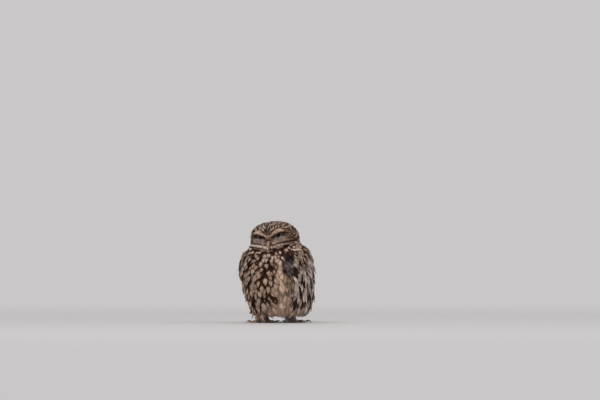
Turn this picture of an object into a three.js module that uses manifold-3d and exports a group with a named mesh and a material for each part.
// A little owl at life size, fluffed up and hunched on both feet, as a still model.
// Units are millimetres and +Z is up. The body faces -Y and +X is the owl's left.
// The head is turned to the owl's right. The origin is on the floor, below the middle of the bird.
import * as THREE from "three";
import { mergeVertices } from "three/addons/utils/BufferGeometryUtils.js";
import Module from "manifold-3d";

const wasm = await Module();
wasm.setup();

// Driving sizes
const gap = 0.3; // kept between neighbouring pieces
const crownHeight = 148; // floor to crown
const neckCut = 99; // where the torso ends and the neck begins
const headHalfWidth = 35.8;
const headHalfHeight = 27;
const headFront = 32;
const headBack = 30;
const headPlace = new THREE.Vector3(-6, -7, crownHeight - headHalfHeight);
const headTurn = -31; // degrees to the owl's right
const headNod = 4; // degrees downwards
const headTilt = 5.5; // degrees, the owl's left eye higher
const eyeRadius = 7.2;
const eyeApart = 13.4; // from the middle of the head to the middle of an eyeball
const eyeDepth = 24.2; // in front of the middle of the head
const eyeRise = 6.8; // above the middle of the head
const eyeOutward = 20; // degrees that each eye looks outwards
const socketRadius = eyeRadius + 1.65;
const lidThickness = 0.6;
const bellyFlat = 16; // height of the flat under the belly that the legs grow from
const legApart = 20; // from the middle of the body to a leg
const legBack = 5; // behind the body's own middle
const legRadius = 7.2;
const padHeight = 6.2;
const padRadius = 6.4;
const toeRadius = 2.7;
const rumpEnd = 0.64; // place along the back line where the torso ends and the tail begins
const tailLength = 73;
const tailSpread = 11; // degrees, outer tail feather from the middle line
const vaneThickness = 0.55;
const vaneClear = 0.9; // from one vane's face to the next one's, over its own thickness

const { degToRad, lerp, clamp } = THREE.MathUtils;
const vec = (x, y, z) => new THREE.Vector3(x, y, z);
const sides = { left: 1, right: -1 };

// Looks
const looks = {
  plumage: { color: 0x8a7263, roughness: 0.9 },
  crown: { color: 0x64513f, roughness: 0.9 },
  throat: { color: 0xb5a092, roughness: 0.9 },
  wing: { color: 0x5f4b3c, roughness: 0.85 },
  tail: { color: 0x5a4738, roughness: 0.85 },
  legFeather: { color: 0xc9b9a6, roughness: 0.95 },
  toe: { color: 0xa39a84, roughness: 0.8 },
  claw: { color: 0x2b2522, roughness: 0.35 },
  bill: { color: 0xb9a67c, roughness: 0.45 },
  cere: { color: 0x6f6a55, roughness: 0.6 },
  eye: { color: 0xd8c04a, roughness: 0.08 },
  lid: { color: 0x2c2622, roughness: 0.7 },
};

// A closed solid from a closed geometry, whichever way its faces point.
function solid(geometry) {
  geometry.deleteAttribute("normal");
  geometry.deleteAttribute("uv");
  const merged = mergeVertices(geometry, 1e-4);
  const vertProperties = merged.attributes.position.array;
  const triVerts = new Uint32Array(merged.index.array);
  const made = new wasm.Manifold(new wasm.Mesh({ numProp: 3, vertProperties, triVerts }));
  if (made.volume() > 0) return made;
  for (let i = 0; i < triVerts.length; i += 3) {
    [triVerts[i + 1], triVerts[i + 2]] = [triVerts[i + 2], triVerts[i + 1]];
  }
  return new wasm.Manifold(new wasm.Mesh({ numProp: 3, vertProperties, triVerts }));
}

// The named mesh of a solid. It keeps only the largest closed surface.
function piece(name, made, look) {
  const largest = made.decompose().reduce((a, b) => (b.volume() > a.volume() ? b : a));
  const { numProp, vertProperties, triVerts } = largest.getMesh();
  const points = [];
  for (let i = 0; i < vertProperties.length; i += numProp) {
    points.push(vertProperties[i], vertProperties[i + 1], vertProperties[i + 2]);
  }
  const geometry = new THREE.BufferGeometry();
  geometry.setAttribute("position", new THREE.Float32BufferAttribute(points, 3));
  geometry.setIndex([...triVerts]);
  geometry.computeVertexNormals();
  const mesh = new THREE.Mesh(geometry, new THREE.MeshStandardMaterial({ metalness: 0, ...looks[look] }));
  mesh.name = name;
  return mesh;
}

const joined = (solids) => solids.reduce((a, b) => a.add(b));

// Every vertex of a geometry moved to place(vertex).
function moved(geometry, place) {
  const at = geometry.attributes.position;
  for (let i = 0; i < at.count; i++) {
    const point = place(vec(at.getX(i), at.getY(i), at.getZ(i)));
    at.setXYZ(i, point.x, point.y, point.z);
  }
  return geometry;
}

// A closed tube. ring(along, turn) gives its surface, along from 0 to 1 and turn in radians,
// and middle(along) the point at the middle of each end.
function tube(around, rows, ring, middle) {
  const place = (v) => {
    const along = v.y + 0.5;
    return Math.hypot(v.x, v.z) < 0.5 ? middle(along) : ring(along, Math.atan2(v.z, v.x));
  };
  return solid(moved(new THREE.CylinderGeometry(1, 1, 1, around, rows), place));
}

// A thin closed vane. place(across, along, face) gives its surface, across from -1 to 1, along
// from 0 at the root to 1 at the tip, face 0 under and 1 on top. Both faces are split alike.
function vane(columns, rows, place) {
  const points = [];
  const faces = [];
  const at = (i, j, face) => (face * (rows + 1) + j) * (columns + 1) + i;
  for (const face of [0, 1]) {
    for (let j = 0; j <= rows; j++) {
      for (let i = 0; i <= columns; i++) {
        points.push(...place((2 * i) / columns - 1, j / rows, face).toArray());
      }
    }
  }
  const quad = (a, b, c, d) => faces.push(a, b, c, a, c, d);
  for (let j = 0; j < rows; j++) {
    for (let i = 0; i < columns; i++) {
      quad(at(i, j, 1), at(i + 1, j, 1), at(i + 1, j + 1, 1), at(i, j + 1, 1));
      faces.push(at(i, j, 0), at(i + 1, j + 1, 0), at(i + 1, j, 0));
      faces.push(at(i, j, 0), at(i, j + 1, 0), at(i + 1, j + 1, 0));
    }
    quad(at(0, j, 0), at(0, j, 1), at(0, j + 1, 1), at(0, j + 1, 0));
    quad(at(columns, j, 0), at(columns, j + 1, 0), at(columns, j + 1, 1), at(columns, j, 1));
  }
  for (let i = 0; i < columns; i++) {
    quad(at(i, 0, 0), at(i + 1, 0, 0), at(i + 1, 0, 1), at(i, 0, 1));
    quad(at(i, rows, 0), at(i, rows, 1), at(i + 1, rows, 1), at(i + 1, rows, 0));
  }
  const geometry = new THREE.BufferGeometry();
  geometry.setAttribute("position", new THREE.Float32BufferAttribute(points, 3));
  geometry.setIndex(faces);
  return solid(geometry);
}

// A smooth value at place t, from 0 to 1, through evenly spaced values.
function smooth(values, t) {
  const last = values.length - 1;
  const x = clamp(t, 0, 1) * last;
  const i = Math.min(Math.floor(x), last - 1);
  const f = x - i;
  const [a, b, c, d] = [i - 1, i, i + 1, i + 2].map((k) => values[clamp(k, 0, last)]);
  return b + 0.5 * f * (c - a + f * (2 * a - 5 * b + 4 * c - d + f * (3 * (b - c) + d - a)));
}

// Torso: the fluffed breast and belly

// Outline of the plumage from the flat under the belly up to the neck cut. half is the half
// width, front and back are how far it reaches, and aside moves it to the owl's left.
const bellyRings = [
  { z: bellyFlat, half: 30.5, front: 15, back: 24, aside: 0 },
  { z: 10.5, half: 33.5, front: 21, back: 29, aside: 1.5 },
  { z: 9, half: 37, front: 27, back: 33, aside: 3 },
  { z: 13, half: 41, front: 33.5, back: 38, aside: 4 },
  { z: 24, half: 46.5, front: 41, back: 43, aside: 4 },
  { z: 38, half: 50.5, front: 47, back: 46, aside: 2.5 },
  { z: 54, half: 53, front: 51, back: 46, aside: 0.8 },
  { z: 70, half: 54, front: 52, back: 43, aside: 0 },
  { z: 85, half: 53, front: 49, back: 39, aside: 0 },
  { z: neckCut - gap / 2, half: 50.3, front: 43, back: 35.5, aside: 0 },
];
const neckRings = [
  { z: neckCut + gap / 2, half: 50.2, front: 43, back: 35.5, aside: 0 },
  { z: 104, half: 48.3, front: 40.5, back: 33, aside: -0.3 },
  { z: 110, half: 43.8, front: 36, back: 29.5, aside: -1 },
  { z: 115, half: 38.5, front: 31, back: 25, aside: -2 },
  { z: 119, half: 31, front: 24, back: 18, aside: -3 },
];

// A body form through level rings, with its corners filled out a little.
function bodyForm(rings, rows, around, grow = 0) {
  const value = (key, along) => smooth(rings.map((ring) => ring[key]), along);
  const round = (x) => Math.sign(x) * Math.abs(x) ** 0.9;
  return tube(
    around,
    rows,
    (along, turn) => {
      const x = value("aside", along) + (value("half", along) + grow) * round(Math.cos(turn));
      const reach = value(Math.sin(turn) < 0 ? "front" : "back", along) + grow;
      return vec(x, reach * round(Math.sin(turn)), value("z", along));
    },
    (along) => vec(value("aside", along), 0, value("z", along)),
  );
}

// Back line: the middle of the back form, the wings and the tail, from shoulders to wing tips

const backEnds = [vec(0, 2, 104), vec(0, 10, 78), vec(0, 42, 43), vec(0, 100, 15)];
const backLine = new THREE.CubicBezierCurve3(...backEnds);
const backHalfWidths = [40, 48, 49.5, 48, 40, 27, 17, 12];
const backHalfDepths = [20, 26, 28, 26.5, 21, 14, 9, 7];

// A point of the sheet that the wings lie on. turn is 0 at the flank and 90 degrees along the back.
function backPoint(along, turn, lift = 0) {
  const middle = backLine.getPoint(along);
  const way = backLine.getTangent(along);
  const across = smooth(backHalfWidths, along) + lift;
  const out = (smooth(backHalfDepths, along) + lift) * Math.sin(turn);
  return vec(across * Math.cos(turn), middle.y - out * way.z, middle.z + out * way.y);
}

// How many millimetres one radian of turn is on that sheet.
function sheetScale(along, turn) {
  const [half, depth] = [smooth(backHalfWidths, along), smooth(backHalfDepths, along)];
  return Math.hypot(half * Math.sin(turn), depth * Math.cos(turn));
}

function backForm(grow) {
  const along = (t) => lerp(0.02, rumpEnd, t);
  const ring = (t, turn) => backPoint(along(t), turn, grow);
  return tube(24, 8, ring, (t) => backLine.getPoint(along(t)));
}

// Width of a feather as a share of its full width: narrow at the root, round at the tip.
const vaneWidth = (along) =>
  Math.min(1, 0.55 + 1.5 * along) * Math.sqrt(1 - clamp((along - 0.62) / 0.4, 0, 1) ** 2.4);

// Rows are closer together towards a feather's round tip.
const towardsTip = (along) => 1 - (1 - along) ** 1.6;

// One row of overlapping feathers on the wing sheet, like tiles on a roof: each lies with its
// upper edge under the next one. root and tip give [along, turn in degrees] for share f of the row.
function featherRow({ count, root, tip, lift, rows = 5, cover = 1.45 }) {
  const place = (f, along) => {
    const [a, b] = [root(f), tip(f)];
    return [lerp(a[0], b[0], along), degToRad(lerp(a[1], b[1], along))];
  };
  const made = [];
  for (let i = 0; i < count; i++) {
    const f = i / (count - 1);
    made.push(
      vane(1, rows, (across, step, face) => {
        const along = towardsTip(step);
        const [at, turn] = place(f, along);
        const scale = sheetScale(at, turn);
        const apart = (Math.abs(place(1, along)[1] - place(0, along)[1]) * scale) / (count - 1);
        const spacing = Math.max(apart, 2);
        const offset = (across * cover * spacing * vaneWidth(along)) / 2;
        const slope = (vaneClear / spacing) * Math.min(1, 3 * along);
        const thick = vaneThickness * lerp(1.1, 0.6, along);
        const height = lerp(lift[0], lift[1], along) - slope * offset + face * thick;
        return backPoint(at, turn + offset / scale, height);
      }),
    );
  }
  return made;
}

// The wing's arm, a thin pad on the sheet.
function wingArm() {
  return vane(7, 6, (across, along, face) => {
    const end = Math.abs(2 * along - 1);
    const half = 8 + 38 * Math.sqrt(1 - end ** 3);
    const thick = 0.6 + 1.2 * (1 - across ** 4) * (1 - end ** 4);
    return backPoint(lerp(0.04, 0.46, along), degToRad(26 + across * half), gap + face * thick);
  });
}

// The rows of the folded wing, the lowest first.
const wingRows = {
  primaries: {
    count: 6,
    root: (f) => [0.3 + 0.06 * f, -10 + 8 * f],
    tip: (f) => [1 - 0.25 * (f - 0.35) ** 2, 22 + 50 * f],
    lift: [0.9, 1.6],
  },
  secondaries: {
    count: 8,
    root: (f) => [0.32 + 0.08 * f, -6 + 66 * f],
    tip: (f) => [0.66 + 0.08 * f, -6 + 82 * f],
    lift: [0.9, 3.8],
    rows: 4,
  },
  primaryCoverts: {
    count: 3,
    root: (f) => [0.14 + 0.03 * f, -12 + 8 * f],
    tip: (f) => [0.42 + 0.06 * f, -18 + 14 * f],
    lift: [1, 3.3],
    rows: 4,
  },
  greaterCoverts: {
    count: 7,
    root: (f) => [0.2 + 0.08 * f, -4 + 64 * f],
    tip: (f) => [0.43 + 0.1 * f, -8 + 84 * f],
    lift: [1, 4.5],
    rows: 4,
  },
  medianCoverts: {
    count: 6,
    root: (f) => [0.1 + 0.06 * f, -6 + 60 * f],
    tip: (f) => [0.27 + 0.11 * f, -8 + 80 * f],
    lift: [1, 5.2],
    rows: 4,
  },
};

const without = (made, rooms) => rooms.reduce((a, b) => a.subtract(b), made);

function wing(rooms) {
  const rows = Object.values(wingRows).flatMap(featherRow);
  return without(joined([wingArm(), ...rows]), rooms);
}

// Tail: coverts that shrink from the rump, and twelve feathers

function tailPoint(across, along, lift) {
  const start = backLine.getPoint(rumpEnd + 0.03);
  const end = vec(0, start.y + tailLength * 0.895, start.z - tailLength * 0.445);
  const sag = 3 * Math.sin(Math.PI * along);
  return vec(across, lerp(start.y, end.y, along), lerp(start.z, end.z, along) - sag + lift);
}

function tailCoverts() {
  const start = backLine.getPoint(rumpEnd);
  const way = backLine.getTangent(rumpEnd);
  const across = smooth(backHalfWidths, rumpEnd);
  const depth = smooth(backHalfDepths, rumpEnd);
  const length = 26;
  const middle = (along) => {
    const straight = start.clone().addScaledVector(way, gap + length * along);
    return straight.lerp(tailPoint(0, 0.1 + 0.4 * along, 1), along);
  };
  const ring = (along, turn) => {
    const half = across * lerp(0.96, 0.42, along ** 0.8);
    const out = depth * lerp(0.94, 0.16, along ** 0.7) * Math.sin(turn);
    const at = middle(along);
    return vec(half * Math.cos(turn), at.y - out * way.z, at.z + out * way.y);
  };
  return tube(20, 5, ring, middle);
}

function tailFeathers() {
  const pairs = 6;
  const made = [];
  for (let i = 0; i < pairs; i++) {
    for (const side of [1, -1]) {
      made.push(
        vane(1, 5, (across, step, face) => {
          const along = towardsTip(step);
          const fan = degToRad((tailSpread * (i + 0.5)) / (pairs - 0.5));
          const length = tailLength * (1 - 0.012 * i) * along;
          const half = lerp(3, 5.4, clamp(2 * along, 0, 1)) * vaneWidth(along);
          const x = side * (length * Math.sin(fan) + (i + 0.5) * 0.55) + across * half;
          const stacked = (-vaneClear + 0.05) * i - 0.14 * Math.abs(across * half - side * 2);
          return tailPoint(x, (length * Math.cos(fan)) / tailLength, stacked + 1.4 + face * vaneThickness);
        }),
      );
    }
  }
  return made;
}

// Head, in its own frame: the face looks along -Y

const headFrame = new THREE.Group();
headFrame.position.copy(headPlace);
headFrame.rotation.order = "ZYX";
headFrame.rotation.set(degToRad(headNod), -degToRad(headTilt), degToRad(headTurn));
headFrame.updateMatrix();

const eyeAt = (side) => vec(side * eyeApart, -eyeDepth, eyeRise);

// Swellings of the plumage over the plain egg of the head: place in the face, reach, height.
const headBumps = [1, -1].flatMap((side) => [
  { at: vec(side * 13.5, -25, eyeRise), reach: 0.26, height: -1.8 },
  { at: vec(side * 8, -29, 12.5), reach: 0.2, height: 2.2 },
  { at: vec(side * 17, -25, 15.5), reach: 0.24, height: 2 },
  { at: vec(side * 15, -28, -8), reach: 0.42, height: 1.4 },
  { at: vec(side * 2, -30, -6), reach: 0.2, height: 1.6 },
]);

function headPoint(way, grow = 0) {
  const square = 2.5; // flattens the face and the sides
  const flat = ((Math.abs(way.x) / headHalfWidth) ** square
    + (Math.abs(way.y) / (way.y < 0 ? headFront : headBack)) ** square) ** (2 / square);
  let reach = (flat + (way.z / headHalfHeight) ** 2) ** -0.5;
  for (const bump of headBumps) {
    reach += bump.height * Math.exp(-((way.angleTo(bump.at) / bump.reach) ** 2));
  }
  return way.clone().multiplyScalar(reach + grow);
}

const headForm = (columns, rows, grow = 0) =>
  solid(moved(new THREE.SphereGeometry(1, columns, rows), (v) => headPoint(v.normalize(), grow)));

const ball = (radius, columns, rows, at) =>
  solid(new THREE.SphereGeometry(radius, columns, rows).translate(at.x, at.y, at.z));

// A short row of stiff feathers along the brow, from beside the bill out over the eye.
function browFeathers(side) {
  const count = 6;
  const made = [];
  for (let i = 0; i < count; i++) {
    const f = i / (count - 1);
    const root = vec(side * lerp(3.5, 20, f), -30 + 3 * f, lerp(7.2, 14.2, f ** 0.8));
    const grow = vec(side * lerp(3.5, 9, f), lerp(-1.5, 1.5, f), lerp(9, 6.5, f));
    made.push(
      vane(1, 2, (across, along, face) => {
        const at = root.clone().addScaledVector(grow, along);
        const way = at.clone().normalize();
        const reach = headPoint(way).length();
        const half = 2.3 * Math.sqrt(1 - (0.95 * along) ** 2);
        const sideways = vec(side * grow.z, 0, -Math.abs(grow.x)).normalize();
        const lift = lerp(-1.2, 1.5, Math.sin(Math.PI * (0.1 + 0.7 * along))) + 0.25 * across;
        return way.multiplyScalar(reach + lift + face * 0.5).addScaledVector(sideways, across * half);
      }),
    );
  }
  return made;
}

function billForm({ root, tip, bend, half, deep, thin }, grow = 0) {
  const line = new THREE.QuadraticBezierCurve3(root.clone().add(vec(0, 1.5 * grow, 0)), bend, tip);
  return tube(
    10,
    7,
    (along, turn) => {
      const at = line.getPoint(along);
      const way = line.getTangent(along);
      const size = lerp(1, thin, along ** 1.3);
      const out = (deep * size + grow) * Math.sin(turn);
      return vec((half * size + grow) * Math.cos(turn), at.y + out * way.z, at.z - out * way.y);
    },
    (along) => line.getPoint(along),
  );
}

const billUpper = {
  root: vec(0, -29.5, -3.2),
  bend: vec(0, -38.8, -2.2),
  tip: vec(0, -37.4, -11.5),
  half: 3.9,
  deep: 3.4,
  thin: 0.1,
};
const billLower = {
  root: vec(0, -29, -8.6),
  bend: vec(0, -33, -8.9),
  tip: vec(0, -35.4, -10.6),
  half: 2.8,
  deep: 1.4,
  thin: 0.35,
};
const nostrilAt = (side) => vec(side * 2.6, -33.2, -1.3);
const nostrils = Object.values(sides).map((side) => ball(0.7, 8, 6, nostrilAt(side)));

// A lid is a patch of a ball round the eye. rise(across) is the height of its free edge as an
// angle, and it runs up or down from there into the socket.
function lid(side, rise, fold) {
  const at = eyeAt(side);
  return vane(8, 3, (across, along, face) => {
    const radius = eyeRadius + 1.6 * gap + face * lidThickness;
    const turn = degToRad(across * lerp(66, 50, along)) + degToRad(eyeOutward) * side;
    const high = degToRad(lerp(rise(across * side), fold, along));
    const flat = Math.cos(high) * radius;
    return vec(Math.sin(turn) * flat, -Math.cos(turn) * flat, Math.sin(high) * radius).add(at);
  });
}

// The free edges of the lids: the upper one slants down towards the bill, as in a frown.
const upperLidEdge = (outward) => 12 + 8 * outward - 12 * outward ** 2;
const lowerLidEdge = (outward) => -20 + 8 * outward + 14 * outward ** 2;

// Legs and feet

const leg = (side) => vec(side * legApart, legBack, 0);

function legForm(side) {
  const foot = leg(side);
  const top = bellyFlat - gap;
  const bottom = padHeight + gap;
  return tube(
    12,
    2,
    (along, turn) => {
      const radius = legRadius * lerp(0.82, 1, along) * (1 + 0.05 * Math.sin(3 * turn));
      const at = vec(radius * Math.cos(turn), radius * 0.95 * Math.sin(turn), lerp(bottom, top, along));
      return at.add(foot);
    },
    (along) => vec(foot.x, foot.y, lerp(bottom, top, along)),
  );
}

// The pad that the toes grow from, flat underneath.
function padForm(side) {
  const foot = leg(side);
  const outline = (along) => padRadius * Math.sqrt(1 - 0.45 * (1.7 * along - 0.55) ** 2);
  return tube(
    16,
    3,
    (along, turn) => {
      const radius = outline(along);
      return vec(foot.x + radius * Math.cos(turn), foot.y + radius * Math.sin(turn), along * padHeight);
    },
    (along) => vec(foot.x, foot.y, along * padHeight),
  );
}

// Toes: the way that each points, in degrees outwards from straight ahead, and its length.
const toes = [
  { name: "hind", way: 168, length: 12, claw: 8 },
  { name: "inner", way: -37, length: 16, claw: 9.5 },
  { name: "middle", way: 15, length: 19, claw: 9.5 },
  { name: "outer", way: 68, length: 16, claw: 8 },
];

// A direction on the floor, turned outwards from straight ahead.
function floorWay(side, degrees) {
  const turn = degToRad(degrees);
  return vec(side * Math.sin(turn), -Math.cos(turn), 0);
}

// A toe with two swollen joints, flat underneath.
function toeForm(side, toe) {
  const way = floorWay(side, toe.way);
  const aside = vec(-way.y, way.x, 0);
  const start = leg(side).addScaledVector(way, padRadius - 2.5);
  const length = toe.length + 2.5;
  const radius = (along) => toeRadius * (1 - 0.2 * along - 0.08 * Math.cos(4.6 * Math.PI * along));
  const middle = (along) => start.clone().addScaledVector(way, length * along).setZ(radius(along) * 0.86);
  const round = padRadius + gap + 0.05;
  const padRoom = new THREE.CylinderGeometry(round, round, 30, 24).rotateX(Math.PI / 2);
  return tube(
    8,
    6,
    (along, turn) => {
      const end = along > 0.99 ? 0.72 : 1;
      const at = middle(along).addScaledVector(aside, radius(along) * end * Math.cos(turn));
      at.z = Math.max(0, at.z + radius(along) * end * Math.sin(turn));
      return at;
    },
    middle,
  ).subtract(solid(padRoom.translate(leg(side).x, legBack, 0)));
}

// A claw that arches forward from its toe and down to the floor.
function clawForm(side, toe) {
  const way = floorWay(side, toe.way);
  const aside = vec(-way.y, way.x, 0);
  const start = leg(side).addScaledVector(way, padRadius + toe.length + gap);
  const point = (out, up) => start.clone().addScaledVector(way, out).setZ(up);
  const arch = [point(0, 2.1), point(toe.claw * 0.75, 5), point(toe.claw, 0.45)];
  const line = new THREE.QuadraticBezierCurve3(...arch);
  return tube(
    7,
    5,
    (along, turn) => {
      const radius = lerp(1.45, 0.22, along ** 0.9);
      const tangent = line.getTangent(along);
      const up = vec(0, 0, 1).addScaledVector(tangent, -tangent.z).normalize();
      const flat = along < 0.01 ? vec(0, 0, 1) : up;
      return line
        .getPoint(along)
        .addScaledVector(aside, 0.85 * radius * Math.cos(turn))
        .addScaledVector(flat, radius * Math.sin(turn));
    },
    (along) => line.getPoint(along),
  );
}

// The whole bird

const owl = new THREE.Group();
const aboveNeckCut = solid(new THREE.BoxGeometry(200, 200, 100).translate(0, 0, neckCut - gap / 2 + 50));
const headRoom = headForm(34, 20, 1.3 * gap).transform(headFrame.matrix.elements);
const torso = bodyForm(bellyRings, 15, 30).add(backForm(-gap)).subtract(aboveNeckCut);
const torsoRoom = bodyForm(bellyRings, 15, 30, 1.5 * gap);
const neck = bodyForm(neckRings, 5, 30).subtract(headRoom);
const neckGrown = bodyForm(neckRings, 5, 30, 2 * gap);
const neckRoom = neckGrown.add(neckGrown.translate([0, 0, -2 * gap]));
owl.add(piece("torso", torso.subtract(headRoom), "plumage"));
owl.add(piece("neck", neck, "throat"));

const leftWing = wing([torsoRoom, neckRoom, backForm(0)]);
owl.add(piece("wing_left", leftWing, "wing"));
owl.add(piece("wing_right", leftWing.mirror([1, 0, 0]), "wing"));
const tail = without(joined([tailCoverts(), ...tailFeathers()]), [torsoRoom, backForm(0)]);
owl.add(piece("tail", tail, "tail"));

const sockets = Object.values(sides).map((side) => ball(socketRadius, 16, 10, eyeAt(side)));
const billRoom = [billForm(billUpper, 1.6 * gap), billForm(billLower, 1.6 * gap)];
const brows = Object.values(sides).flatMap(browFeathers);
const head = without(joined([headForm(34, 20), ...brows]), [...sockets, ...billRoom]);
headFrame.add(piece("head", head, "crown"));
headFrame.add(piece("bill_upper", without(billForm(billUpper), nostrils), "bill"));
headFrame.add(piece("bill_lower", billForm(billLower).subtract(billRoom[0]), "bill"));

for (const [name, side] of Object.entries(sides)) {
  headFrame.add(piece(`eye_${name}`, ball(eyeRadius, 16, 10, eyeAt(side)), "eye"));
  headFrame.add(piece(`lid_upper_${name}`, lid(side, upperLidEdge, 62), "lid"));
  headFrame.add(piece(`lid_lower_${name}`, lid(side, lowerLidEdge, -62), "lid"));
  owl.add(piece(`leg_${name}`, legForm(side), "legFeather"));
  owl.add(piece(`foot_${name}`, padForm(side), "toe"));
  for (const toe of toes) {
    owl.add(piece(`toe_${toe.name}_${name}`, toeForm(side, toe), "toe"));
    owl.add(piece(`claw_${toe.name}_${name}`, clawForm(side, toe), "claw"));
  }
}
owl.add(headFrame);

// The origin goes to the floor, below the middle of the whole bird.
owl.updateMatrixWorld(true);
const bounds = new THREE.Box3().setFromObject(owl, true);
const centre = bounds.getCenter(vec(0, 0, 0));
owl.position.set(-centre.x, -centre.y, -bounds.min.z);

export default owl;
